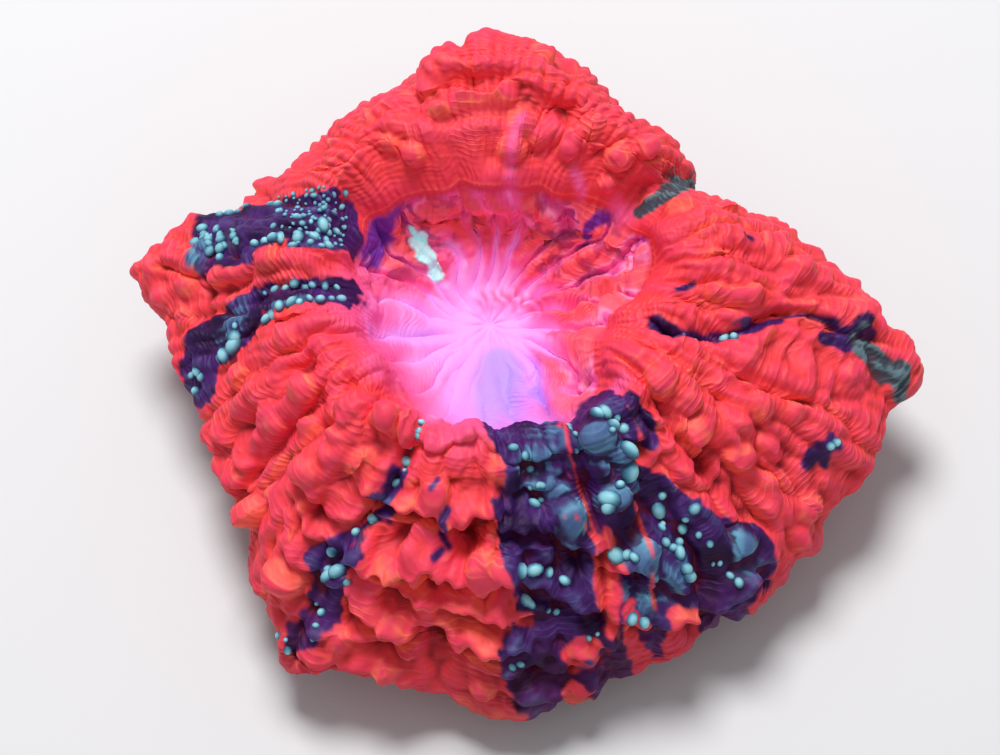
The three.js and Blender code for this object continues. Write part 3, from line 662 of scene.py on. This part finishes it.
def tonesOf(p, normals, at):
    # What the colours read at each point. Heights over the blurred surface give the hollows, where shade is
    # painted, the sharp edges ("edge"), which get a painted rim glow like the steep sides, and the tops
    # ("bump").
    x, y = p[..., 0], p[..., 1]
    one = np.ones_like(x)
    wobble = 0.55 * smoothNoise(p, 1.6, 51) + 0.3 * smoothNoise(p, 0.7, 52) + 0.7 * smoothNoise(p, 4.0, 53)
    body = 1 - step01(at.station, 6.6, 7.2)
    violet, red, grey, plum = (patchShare(x, y, k, wobble) * body for k in ("violet", "red", "grey", "plum"))
    near, deep, wide = (((blurred(p, reach) - p) * normals).sum(-1) for reach in (3, 9, 26))
    broken = step01(smoothNoise(p, 2.8, 54) + 0.3 * smoothNoise(p, 0.9, 69), -0.5, 0.5)
    pitMask = (1 - step01(at.station, 2.75, 2.97)) * one
    glow = glowOf(p, at, pitMask)
    lilac = bell(at.angle, 281, 34) * step01(at.radius, 0.8, 4.0)
    lilac = lilac + 0.4 * bell(at.angle, 195, 18) * step01(at.radius, 4.0, 6.0)
    pitWall = pitMask * step01(at.radius, 6.0, 8.5) * (1 - 0.4 * np.clip(at.crest, 0, 1))
    mottle = step01(smoothNoise(p, 1.5, 56) + 0.5 * smoothNoise(p, 0.6, 57) + 0.1, 0.15, 0.4)
    # Painted shade on the top of the back wall, under the hem.
    hemShade = step01(at.station, 2.4, 2.7) * (1 - step01(at.station, 2.93, 3.0)) * bell(at.angle, 95, 55)
    # Painted shade: the flesh gets darker towards the bottom.
    low = (1 - step01(p[..., 2], 5, 15)) * at.upper
    # A painted highlight along the rim's edge.
    rimHighlight = np.exp(-((at.station - 3.03) / 0.025) ** 2) * one
    lip = np.exp(-((at.saw - 0.74) / 0.11) ** 2) * at.lipShare * step01(at.length, 1.0, 4.0)
    plumWall = step01(bell(at.angle, 147, 19) + 0.35 * wobble, 0.5, 0.75) * step01(at.station, 1.6, 1.8)
    return {
        "violet": violet * (1 - red) * step01(at.station, 2.6, 3.0),
        "aqua": patchShare(x, y, "aqua", 1.3 * wobble, 0.9) * at.upper, "grey": grey,
        "ray": at.ray, "rayShare": at.rayShare * broken, "ring": at.ring, "ringShare": at.ringShare * broken,
        # Painted shade: in the hollows, under the back hem and towards the bottom.
        "deep": step01(deep, 0.06, 0.4) * 0.5 + step01(wide, 0.15, 1.3) * 0.6 + 0.3 * hemShade + 0.35 * low,
        # Painted rim glow on the sharp edges and along the rim.
        "edge": np.maximum(step01(-near, 0.008, 0.06), rimHighlight),
        # The tops; and the steep sides, which get a painted rim glow.
        "bump": step01(-deep, 0.02, 0.22), "steep": step01(1 - at.steepness, 0.1, 0.5),
        # The lip lines; and painted shade on the underside past the margin.
        "lip": np.maximum(lip, rimHighlight), "under": step01(at.station, 6.05, 6.9) * one,
        "glow": glow,
        "lilac": np.clip(lilac, 0, 1) * (0.3 + 0.7 * glow) * (1 - step01(at.station, 2.9, 3.05)),
        "mottle": mottle * pitWall * shareRound(at.angle, "mottleShare"),
        "plum": np.maximum(plumWall, plum) * pitMask, "pale": at.strip, "pit": pitMask, "crest": at.crest,
    }


def relieved(p, angle, station, length):
    # Raises the plain form in steps along its normals. Returns points, normals and tones.
    outward = np.concatenate([p[..., :2] - polyp["pitMiddle"], np.zeros(p.shape[:2] + (1,))], -1)
    radius = np.linalg.norm(outward, axis=-1)
    station = station[:, None]
    upper = step01(station, 2.9, 3.5) * (1 - step01(station, 6.3, 7.2))  # what shows from above
    at = SimpleNamespace(angle=angle + 0 * length, station=station, length=length, radius=radius,
                         outward=outward / (radius[..., None] + 1e-9), upper=upper)
    for stage in (roundPitFoot, raiseFolds, raiseKnobs, raiseStriae):
        p = stage(p, at)
    normals = normalsOf(p)
    return p, normals, tonesOf(p, normals, at)


def wholeFlesh():
    # The flesh from the mouth to the foot on one grid, a column of stations by a row of angles.
    angle = np.arange(polyp["columns"]) / polyp["columns"] * 360
    spans = [np.linspace(k, k + 1, n, endpoint=False) for k, n in enumerate(polyp["rows"])]
    station = np.r_[np.concatenate(spans), 8.0]
    station[0] = 0.3 * station[1]
    p = seated(polypForm(angle, station), wholeForm)
    length = np.cumsum(np.linalg.norm(np.diff(p, axis=0, prepend=p[:1]), axis=-1), axis=0)
    length = length - length[np.searchsorted(station, 3.0)]  # mm from the rim's edge, outwards
    return angle, station, *relieved(p, angle, station, length)


foot = {
    "columns": 720, "rows": (8, 26, 16), "septa": 68, "septum": 0.3, "inset": 0.35,
    "closedAt": 4.5, "cutMiddle": (-0.34, 0.2),  # where its top closes inside, and the cut's middle
}


def stonyFoot():
    # The stump and the cut: the same loft from station 7.5 on, ribbed by the skeleton's septa.
    angle = np.arange(foot["columns"]) / foot["columns"] * 360
    ends = ((7.5, 8), (8, 9), (9, 9.97))
    spans = [np.linspace(a, b, n, endpoint=False) for (a, b), n in zip(ends, foot["rows"])]
    station = np.r_[np.concatenate(spans), 9.97]
    p = seated(polypForm(angle, station), wholeForm)
    st = station[:, None]
    rib = np.abs(np.cos(np.pi * foot["septa"] * angle / 360 + 1.5 * smoothNoise(p, 4.0, 81))) - 0.6
    lift = foot["septum"] * rib * (1 - step01(st, 8.8, 9.0)) + 0.25 * smoothNoise(p, 3.0, 82) * (st < 8.9)
    p = p + normalsOf(p) * (lift - foot["inset"] * (1 - step01(st, 7.9, 8.4)))[..., None]
    groove = 0.12 * (0.4 - rib) * step01(st, 9.03, 9.08)  # the cut shows the septa as fine ridges
    p[..., 2] = np.where(st >= 9, np.maximum(groove, 0), np.maximum(p[..., 2], 0))
    return p, {"rib": step01(rib, -0.4, 0.4) + 0 * p[..., 0], "cut": step01(st, 8.9, 9.0) + 0 * p[..., 0]}


def makePiece(name, points, faces, normals, tones, material, bakePlaces):
    # faces is a list of index arrays of one width each; bakePlaces gives each corner its place.
    mesh = bpy.data.meshes.new(name)
    mesh.vertices.add(len(points))
    mesh.vertices.foreach_set("co", (points / 1000).astype(np.float32).ravel())
    sizes = np.concatenate([np.full(len(f), f.shape[1]) for f in faces])
    corners = np.concatenate([f.ravel() for f in faces])
    mesh.loops.add(len(corners))
    mesh.loops.foreach_set("vertex_index", corners.astype(np.int32))
    mesh.polygons.add(len(sizes))
    mesh.polygons.foreach_set("loop_start", np.r_[0, np.cumsum(sizes)[:-1]].astype(np.int32))
    mesh.polygons.foreach_set("use_smooth", np.ones(len(sizes), bool))
    mesh.update(calc_edges=True)
    for tone, values in tones.items():
        layer = mesh.attributes.new(tone, "FLOAT", "POINT")
        layer.data.foreach_set("value", values.astype(np.float32).ravel())
    if bakePlaces is not None:
        mesh.uv_layers.new(name="OFBake").uv.foreach_set("vector", bakePlaces.astype(np.float32).ravel())
    if normals is not None:
        mesh.normals_split_custom_set_from_vertices(normals)
    mesh.materials.append(material)
    piece = bpy.data.objects.new(name, mesh)
    bpy.context.scene.collection.objects.link(piece)
    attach(piece, "root")
    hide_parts("coral_polyp")
    print(name, len(points), "points,", int((sizes - 2).sum()), "triangles")
    return piece


def gridFaces(rows, columns):
    # Squares of a grid whose rows run down the surface, turned so that they face outwards.
    r, c = np.meshgrid(np.arange(rows - 1), np.arange(columns - 1), indexing="ij")
    a = (r * columns + c).ravel()
    return np.stack([a, a + columns, a + columns + 1, a + 1], 1)


def gridPlaces(rows, columns, low, high):
    # Even places of a grid's points in the bake map, between two heights of it.
    across, down = np.meshgrid(np.linspace(0.004, 0.996, columns), np.linspace(low, high, rows))
    return np.stack([across, down], -1).reshape(-1, 2)


def rowPlaces(faces, low, height):
    # Places in the bake map for a row of squares or of triangles, side by side.
    start, step = np.arange(len(faces)) / len(faces), 1 / len(faces)
    shifts = ((0, 0), (1, 0), (1, 1), (0, 1)) if faces.shape[1] == 4 else ((0, 0), (1, 0), (0.5, 1))
    corners = [np.stack([start + step * a, np.full(len(faces), low + height * b)], 1) for a, b in shifts]
    return np.stack(corners, 1).reshape(-1, 2)


def wedgeOfFlesh(name, p, normals, tones, spine, material):
    # One stretch of the surface, closed inside: strips from its upper and lower edges to a spine,
    # and fans from its two sides to the spine's ends.
    rows, columns = p.shape[:2]
    grid = np.arange(rows * columns).reshape(rows, columns)
    back = rows * columns + np.arange(columns)
    faces = gridFaces(rows, columns)
    top = np.stack([grid[0, :-1], grid[0, 1:], back[1:], back[:-1]], 1)
    low = np.stack([grid[-1, 1:], grid[-1, :-1], back[:-1], back[1:]], 1)
    first = np.stack([grid[1:, 0], grid[:-1, 0], np.full(rows - 1, back[0])], 1)
    last = np.stack([grid[:-1, -1], grid[1:, -1], np.full(rows - 1, back[-1])], 1)
    points = np.vstack([p.reshape(-1, 3), spine])
    normals = np.vstack([normals.reshape(-1, 3), np.tile((0, 0, -1.0), (columns, 1))])
    tones = {k: np.r_[v.ravel(), np.zeros(columns)] for k, v in tones.items()}
    places = [gridPlaces(rows, columns, 0.004, 0.94)[faces.ravel()]]
    rest = ((top, 0.945, 0.008), (low, 0.955, 0.008), (first, 0.967, 0.012), (last, 0.985, 0.012))
    places = np.vstack(places + [rowPlaces(*row) for row in rest])
    return makePiece(name, points, [faces, top, low, first, last], normals, tones, material, places)


def roundPiece(name, p, normals, tones, ends, material):
    # A surface that runs right round, closed by fans to a point at each end.
    rows, columns = p.shape[:2]
    grid = np.arange(rows * columns).reshape(rows, columns)
    wrapped = np.concatenate([grid, grid[:, :1]], 1)
    a, b = wrapped[:-1, :-1], wrapped[:-1, 1:]
    c, d = wrapped[1:, 1:], wrapped[1:, :-1]
    faces = np.stack([a, d, c, b], -1).reshape(-1, 4)
    top = np.stack([grid[0], np.roll(grid[0], -1), np.full(columns, rows * columns)], 1)
    low = np.stack([np.roll(grid[-1], -1), grid[-1], np.full(columns, rows * columns + 1)], 1)
    points = np.vstack([p.reshape(-1, 3), ends])
    normals = np.vstack([normals.reshape(-1, 3), (0, 0, 1), (0, 0, -1)])
    tones = {k: np.r_[v.ravel(), v[0].mean(), v[-1].mean()] for k, v in tones.items()}
    k = np.arange(columns) / columns
    step = 1 / columns
    r = np.linspace(0.01, 0.97, rows)
    left, right = np.meshgrid(k, r), np.meshgrid(k + step, r)
    corners = [(left[0][:-1], left[1][:-1]), (left[0][1:], left[1][1:]),
               (right[0][1:], right[1][1:]), (right[0][:-1], right[1][:-1])]
    places = [np.stack([np.stack(c, -1) for c in corners], 2).reshape(-1, 2)]
    places = np.vstack(places + [rowPlaces(top, 0.0, 0.008), rowPlaces(low, 0.98, 0.008)])
    return makePiece(name, points, [faces, top, low], normals, tones, material, places)


def beadPiece(name, beads, surface, surfaceNormals, material):
    # Each bead is a small ball, a little longer one way, half sunk in the flesh under its place.
    rings, sides = beadForm["rings"], beadForm["sides"]
    polar = np.linspace(0, np.pi, rings + 1)[1:-1]
    around = np.arange(sides) / sides * 2 * np.pi
    ball = np.stack(np.broadcast_arrays(
        np.sin(polar)[:, None] * np.cos(around), np.sin(polar)[:, None] * np.sin(around),
        np.cos(polar)[:, None]), -1).reshape(-1, 3)
    ball = np.vstack([ball, (0, 0, 1), (0, 0, -1)])
    grid = np.arange((rings - 1) * sides).reshape(rings - 1, sides)
    right = np.roll(grid, -1, 1)
    squares = np.stack([grid[:-1], grid[1:], right[1:], right[:-1]], -1).reshape(-1, 4)
    pole = len(ball) - 2
    tips = np.vstack([np.stack([grid[0], right[0], np.full(sides, pole)], 1),
                      np.stack([right[-1], grid[-1], np.full(sides, pole + 1)], 1)])
    rng = np.random.default_rng(77)
    flat, flatNormals = surface.reshape(-1, 3), surfaceNormals.reshape(-1, 3)
    points, pales, shadeHeights = [], [], []
    for x, y, radius, pale in beads:
        spot = np.argmin(np.hypot(flat[:, 0] - x, flat[:, 1] - y) - 0.03 * flat[:, 2])
        up = flatNormals[max(spot - 3, 0):spot + 4].mean(0)
        up = up / np.linalg.norm(up)
        side = np.cross(up, (math.cos(rng.uniform(0, 6.3)), math.sin(rng.uniform(0, 6.3)), 0.1))
        side = side / np.linalg.norm(side)
        turn = np.stack([side * rng.uniform(*beadForm["stretch"]), np.cross(up, side), up])
        middle = flat[spot] - up * radius * beadForm["sunk"]
        points.append(middle + beadForm["swell"] * radius * ball @ turn)
        pales.append(np.full(len(ball), pale))
        # Each ball's height round it, which the painted highlight and shade follow.
        shadeHeights.append(ball[:, 2])
    shift = len(ball) * np.arange(len(beads))[:, None, None]
    allSquares = (squares[None] + shift).reshape(-1, 4)
    allTips = (tips[None] + shift).reshape(-1, 3)
    return makePiece(name, np.vstack(points), [allSquares, allTips], None,
                     {"pale": np.concatenate(pales), "top": np.concatenate(shadeHeights)}, material, None)


def plug(tree, node, inputs):  # sets the node's sockets, or links them where a wire is given
    for key, value in inputs.items():
        if isinstance(value, Wire):
            tree.links.new(value.socket, node.inputs[key])
        else:
            node.inputs[key].default_value = value


class Wire:
    # Wraps a shader socket: sums on it add Math nodes, and node adds any other node.
    def __init__(self, tree, socket=None):
        self.tree, self.socket = tree, socket

    def node(self, kind, settings, inputs, output=0):
        made = self.tree.nodes.new(kind)
        for name, value in settings.items():
            if name == "stops":
                ramp = made.color_ramp
                while len(ramp.elements) < len(value):
                    ramp.elements.new(0.5)
                for element, (at, colour) in zip(ramp.elements, value):
                    element.position, element.color = at, colour
            else:
                setattr(made, name, value)
        plug(self.tree, made, inputs)
        return Wire(self.tree, made.outputs[output])

    def maths(self, operation, first, second=0.0):
        return self.node("ShaderNodeMath", {"operation": operation}, {0: first, 1: second})

    def __add__(self, other):
        return self.maths("ADD", self, other)

    def __sub__(self, other):
        return self.maths("SUBTRACT", self, other)

    def __rsub__(self, other):
        return self.maths("SUBTRACT", other, self)

    def __mul__(self, other):
        return self.maths("MULTIPLY", self, other)

    def __pow__(self, other):
        return self.maths("POWER", self, other)

    __radd__, __rmul__ = __add__, __mul__

    def crest(self, sharpness):  # 1 where this is a whole number, less on both sides
        wave = self.maths("COSINE", self * math.pi)
        return self.maths("ABSOLUTE", wave) ** sharpness

    def ramp(self, low, high):  # 0 below low, 1 above high, smooth between
        return self.node("ShaderNodeMapRange", {"interpolation_type": "SMOOTHSTEP"},
                         {"Value": self, "From Min": low, "From Max": high})

    def mix(self, first, second):  # first where this is 0, second where it is 1
        return self.node("ShaderNodeMix", {"data_type": "RGBA"}, {0: self, 6: first, 7: second}, 2)


def paint(red, green, blue):  # a screen colour from 0 to 255, as the shader's linear colour
    c = np.array([red, green, blue]) / 255
    linear = np.where(c <= 0.04045, c / 12.92, ((c + 0.055) / 1.055) ** 2.4)
    return (*(float(v) for v in linear), 1.0)


fleshLook = {
    # The orange, the light violet, aqua and grey and the pit's line colour are painted rim glow; the dark
    # and under reds are painted shade.
    "red": paint(234, 62, 68), "redPink": paint(230, 60, 92), "rimGlowOrange": paint(255, 118, 92),
    "paintedShadeRed": paint(112, 8, 26), "violet": paint(66, 22, 96), "violetDark": paint(40, 12, 60),
    "violetRimGlow": paint(92, 60, 134), "aqua": paint(64, 76, 126), "aquaRimGlow": paint(100, 160, 188),
    "grey": paint(60, 66, 78), "greyRimGlow": paint(92, 116, 124), "plum": paint(110, 44, 150),
    "strip": paint(176, 222, 226), "pitLineGlow": paint(255, 140, 130), "hotPink": paint(240, 90, 148),
    "pink": paint(238, 152, 220), "lilac": paint(172, 142, 244), "undersideShadeRed": paint(120, 16, 26),
    "mottle": paint(132, 30, 104), "roughness": 0.5, "lineSharpness": 14,
    "glowFlesh": 0.07, "glowHeart": 0.09, "glowPit": 0.07, "glowStrip": 0.12,
    "cloud": (260.0, 3.0), "grain": (1500.0, 2.0), "bump": 0.00008,  # scale and detail; metres
    "pitStops": [  # the pit's wall, from between the cords to their tops: darker between them, partly the wall's own purple and partly painted shade, with a pale pink painted rim glow on their flanks
        (0.0, paint(140, 44, 136)), (0.22, paint(214, 76, 150)), (0.38, paint(250, 140, 182)),
        (0.56, paint(242, 96, 118)), (1.0, paint(242, 84, 96)),
    ],
}

stoneLook = {
    "stone": paint(206, 198, 178), "hollow": paint(128, 112, 96), "stain": paint(122, 74, 82),
    "cloud": (180.0, 4.0), "grain": (1800.0, 3.0), "bump": 0.00012, "roughness": 0.75,
}
# The beads' colours: edge and side are painted shade on their lower sides, top a painted highlight on their
# tops.
beadLook = {
    "edge": paint(44, 84, 112), "side": paint(82, 140, 164), "top": paint(152, 214, 224),
    "cloud": (900.0, 2.0), "roughness": 0.45,
}


def newShader(name):
    material = bpy.data.materials.new(name)
    material.use_nodes = True
    return material, material.node_tree, material.node_tree.nodes["Principled BSDF"]


def readTone(tree, name):
    return Wire(tree).node("ShaderNodeAttribute", {"attribute_name": name}, {}, 2)


def grainOf(tree, scale, detail):  # soft noise, a number from 0 to 1 at each place on the piece
    place = Wire(tree).node("ShaderNodeTexCoord", {}, {}, 3)
    return Wire(tree).node("ShaderNodeTexNoise", {}, {"Vector": place, "Scale": scale, "Detail": detail})


def bumpOf(tree, height, distance):
    return Wire(tree).node("ShaderNodeBump", {}, {"Strength": 0.6, "Distance": distance, "Height": height})


def fleshMaterial():
    look = fleshLook
    material, tree, shader = newShader("fluorescentFlesh")
    names = ("violet", "aqua", "grey", "ray", "rayShare", "ring", "ringShare", "deep", "edge", "steep",
             "under", "glow", "lilac", "mottle", "plum", "pale", "bump", "pit", "crest", "lip")
    tone = {k: readTone(tree, k) for k in names}
    start = Wire(tree)
    cloud, grain = grainOf(tree, *look["cloud"]), grainOf(tree, *look["grain"])
    ray = tone["ray"].crest(look["lineSharpness"]) * tone["rayShare"]
    ring = tone["ring"].crest(look["lineSharpness"]) * tone["ringShare"]
    line = start.maths("MAXIMUM", start.maths("MAXIMUM", ray, ring), tone["lip"])
    red = (cloud.ramp(0.3, 0.7) * 0.4 + tone["bump"] * 0.6).mix(look["red"], look["redPink"])
    # Painted rim glow: the fine lines, sharp edges and steep sides turn orange.
    lit = line * 0.38 + tone["edge"] * 0.12 + tone["steep"] * 0.46
    red = lit.ramp(0.05, 1.0).mix(red, look["rimGlowOrange"])
    wall = start.node("ShaderNodeValToRGB", {"stops": look["pitStops"]}, {"Fac": tone["crest"]})
    # Painted rim glow on the lines along the cords' tops.
    wall = (line * 0.5 * tone["crest"]).mix(wall, look["pitLineGlow"])
    red = tone["pit"].mix(red, wall)
    red = tone["glow"].ramp(0.0, 0.5).mix(red, look["hotPink"])
    red = tone["glow"].ramp(0.4, 1.0).mix(red, look["pink"])
    red = tone["lilac"].ramp(0.0, 0.95).mix(red, look["lilac"])
    red = (tone["mottle"] * 0.7 * (1 - tone["glow"])).mix(red, look["mottle"])
    # Painted rim glow: the violet, aqua and grey turn lighter on the lines, edges and steep sides.
    violet = (line * 0.5 + tone["steep"] * 0.5).mix(look["violet"], look["violetRimGlow"])
    violet = cloud.ramp(0.35, 0.6).mix(look["violetDark"], violet)
    aqua = (tone["edge"] * 0.15 + tone["steep"] * 0.75 + line * 0.35).mix(look["aqua"], look["aquaRimGlow"])
    lifted = 0.3 + 0.5 * tone["edge"] + 0.5 * tone["bump"]
    blue = (tone["aqua"] * lifted + tone["bump"] * cloud.ramp(0.45, 0.65) * 0.35).ramp(0.0, 1.0)
    violet = blue.mix(violet, aqua)
    grey = (tone["edge"] + line * 0.3).mix(look["grey"], look["greyRimGlow"])
    colour = tone["violet"].mix(red, violet)
    colour = tone["grey"].mix(colour, grey)
    colour = tone["plum"].mix(colour, look["plum"])
    # Painted shade: darker red in the hollows, under the back hem and towards the bottom.
    colour = (tone["deep"] * 0.7 * (1 - tone["glow"])).mix(colour, look["paintedShadeRed"])
    # Painted shade: darker red on the margin's underside.
    colour = (tone["under"] * 0.8).mix(colour, look["undersideShadeRed"])
    colour = tone["pale"].mix(colour, look["strip"])
    shine = tone["glow"] * look["glowHeart"] * (1 - 0.5 * tone["lilac"]) + tone["pale"] * look["glowStrip"]
    # The flesh glows less where shade is painted in the hollows.
    shine = shine + look["glowFlesh"] * (1 - tone["deep"]) + tone["pit"] * look["glowPit"]
    plug(tree, shader, {
        "Base Color": colour, "Roughness": look["roughness"] + 0.12 * grain,
        "Emission Color": shine.mix((0, 0, 0, 1), colour), "Emission Strength": 1.0,
        "Specular IOR Level": 0.22, "Normal": bumpOf(tree, grain + line, look["bump"]),
    })
    return material


def stoneMaterial():
    look = stoneLook
    material, tree, shader = newShader("stonySkeleton")
    cloud, grain = grainOf(tree, *look["cloud"]), grainOf(tree, *look["grain"])
    stone = (readTone(tree, "rib") * (0.5 + 0.6 * grain)).mix(look["hollow"], look["stone"])
    weathered = cloud.ramp(0.45, 0.65).mix(stone, look["stain"])
    plug(tree, shader, {
        "Base Color": (readTone(tree, "cut") * 0.8).mix(weathered, stone),
        "Roughness": look["roughness"] + 0.2 * grain, "Specular IOR Level": 0.3,
        "Normal": bumpOf(tree, grain, look["bump"]),
    })
    return material


def beadMaterial():
    look = beadLook
    material, tree, shader = newShader("mintBeads")
    cloud = grainOf(tree, *look["cloud"])
    pale, top = readTone(tree, "pale"), readTone(tree, "top")
    # Painted shade: the beads darken from their tops to their edges; painted highlight: their tops turn pale
    # and glow a little more.
    colour = top.ramp(-0.1, 0.7).mix(look["edge"], look["side"])
    colour = (top.ramp(0.45, 1.0) * pale * (0.6 + 0.6 * cloud)).mix(colour, look["top"])
    plug(tree, shader, {
        "Base Color": colour, "Roughness": look["roughness"] + 0.15 * cloud,
        "Emission Color": (0.04 + 0.08 * pale * top.ramp(0.2, 1.0)).mix((0, 0, 0, 1), colour),
        "Emission Strength": 1.0, "Specular IOR Level": 0.35,
    })
    return material


addCamera()
addStudio()
print("view, floor and light set")

wholeForm = polypForm(np.arange(0, 360, 2.0), np.linspace(0, 10, 41))
angle, station, flesh, fleshNormals, fleshTones = wholeFlesh()
print("flesh worked out:", flesh.shape)
fleshShader = fleshMaterial()
rim = np.searchsorted(station, 2.0)  # the row where the pit's own piece meets the folds
middleX, middleY = polyp["pitMiddle"]

# The angles where each stretch of flesh begins and ends, and the spine that closes it inside.
stretches = {
    "back_right_fold": (30, 90), "back_left_fold": (90, 150), "left_fold": (150, 207),
    "lower_left_fold": (207, 262), "front_fold": (262, 322), "right_fold": (322, 390),
}
spineRadius, spineHeight = 20, 6.0

for name, (start, end) in stretches.items():
    part = np.arange(start * polyp["columns"] // 360, end * polyp["columns"] // 360 + 1) % polyp["columns"]
    turn = np.radians(angle[part])
    spine = np.stack([middleX + spineRadius * np.cos(turn), middleY + spineRadius * np.sin(turn),
                      np.full(len(part), spineHeight)], 1)
    tones = {k: v[rim:, part] for k, v in fleshTones.items()}
    tones["ray"] = np.unwrap(tones["ray"], axis=1, period=1)
    wedgeOfFlesh(name, flesh[rim:, part], fleshNormals[rim:, part], tones, spine, fleshShader)

# The pit's piece laps under the folds for a few rows, a little lower at each, then drops inside
# them, clear of the pit's floor.
pitLap = {"rows": 4, "sink": 0.12, "most": 3, "drop": 5.0, "closedAt": 3.0}
last = rim + pitLap["rows"]
sink = pitLap["sink"] * np.clip(np.arange(last) - rim, 0, pitLap["most"])
pit = flesh[:last, ::2] - fleshNormals[:last, ::2] * sink[:, None, None]
pit = np.concatenate([pit, pit[-1:] - (0, 0, pitLap["drop"])])
rows = np.r_[:last, last - 1]
tones = {k: v[rows, ::2] for k, v in fleshTones.items()}
ends = np.array([pit[0].mean(0) - (0, 0, 0.1), (middleX, middleY, pitLap["closedAt"])])
roundPiece("mouth_and_pit", pit, fleshNormals[rows, ::2], tones, ends, fleshShader)

stump, stumpTones = stonyFoot()
ends = np.array([(middleX, middleY, foot["closedAt"]), (*foot["cutMiddle"], 0.0)])
roundPiece("stony_foot", stump, normalsOf(stump), stumpTones, ends, stoneMaterial())

beads = np.concatenate([beadsAlong(*row, n + 1) for n, row in enumerate(beadStrings)])
beadPiece("mint_beads", beads, flesh[rim:], fleshNormals[rim:], beadMaterial())
